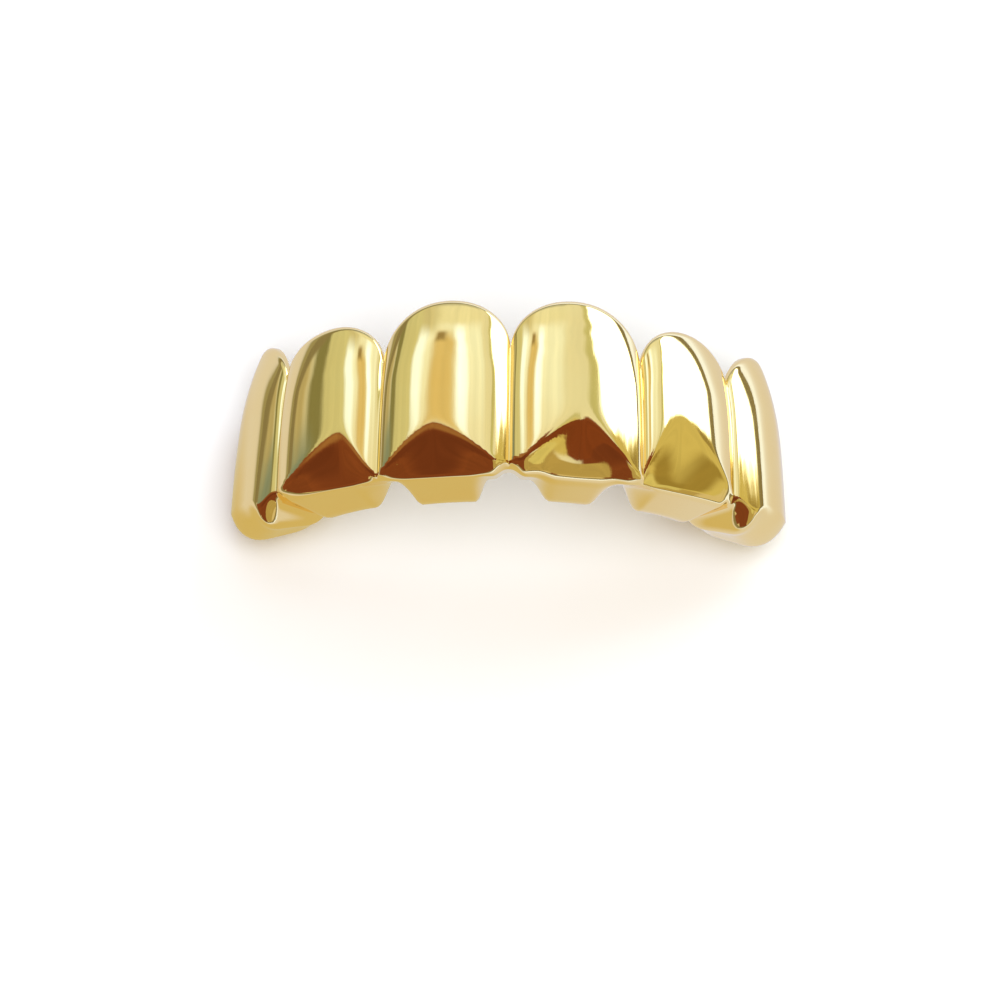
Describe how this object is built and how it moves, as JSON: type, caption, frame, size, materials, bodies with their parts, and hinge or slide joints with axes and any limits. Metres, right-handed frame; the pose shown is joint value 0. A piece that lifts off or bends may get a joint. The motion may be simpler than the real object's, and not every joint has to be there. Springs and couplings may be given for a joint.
{
  "type": "grillz tooth cover",
  "caption": "Gold-plated cover for the upper front teeth: domed caps side by side along an arch, a shelf under their biting edges and a low lip behind.",
  "frame": {"origin": "middle of the bounding box's floor, where the two end walls rest", "axes": "+X across the mouth, +Y from the biting edges towards the gum, +Z out of the lips"},
  "size_m": [0.0422, 0.0162, 0.0142],
  "materials": {
    "gold_plate": "mirror-polished gold plate"
  },
  "bodies": {
    "root": {"tooth_cover": "gold_plate"}
  },
  "joints": []
}
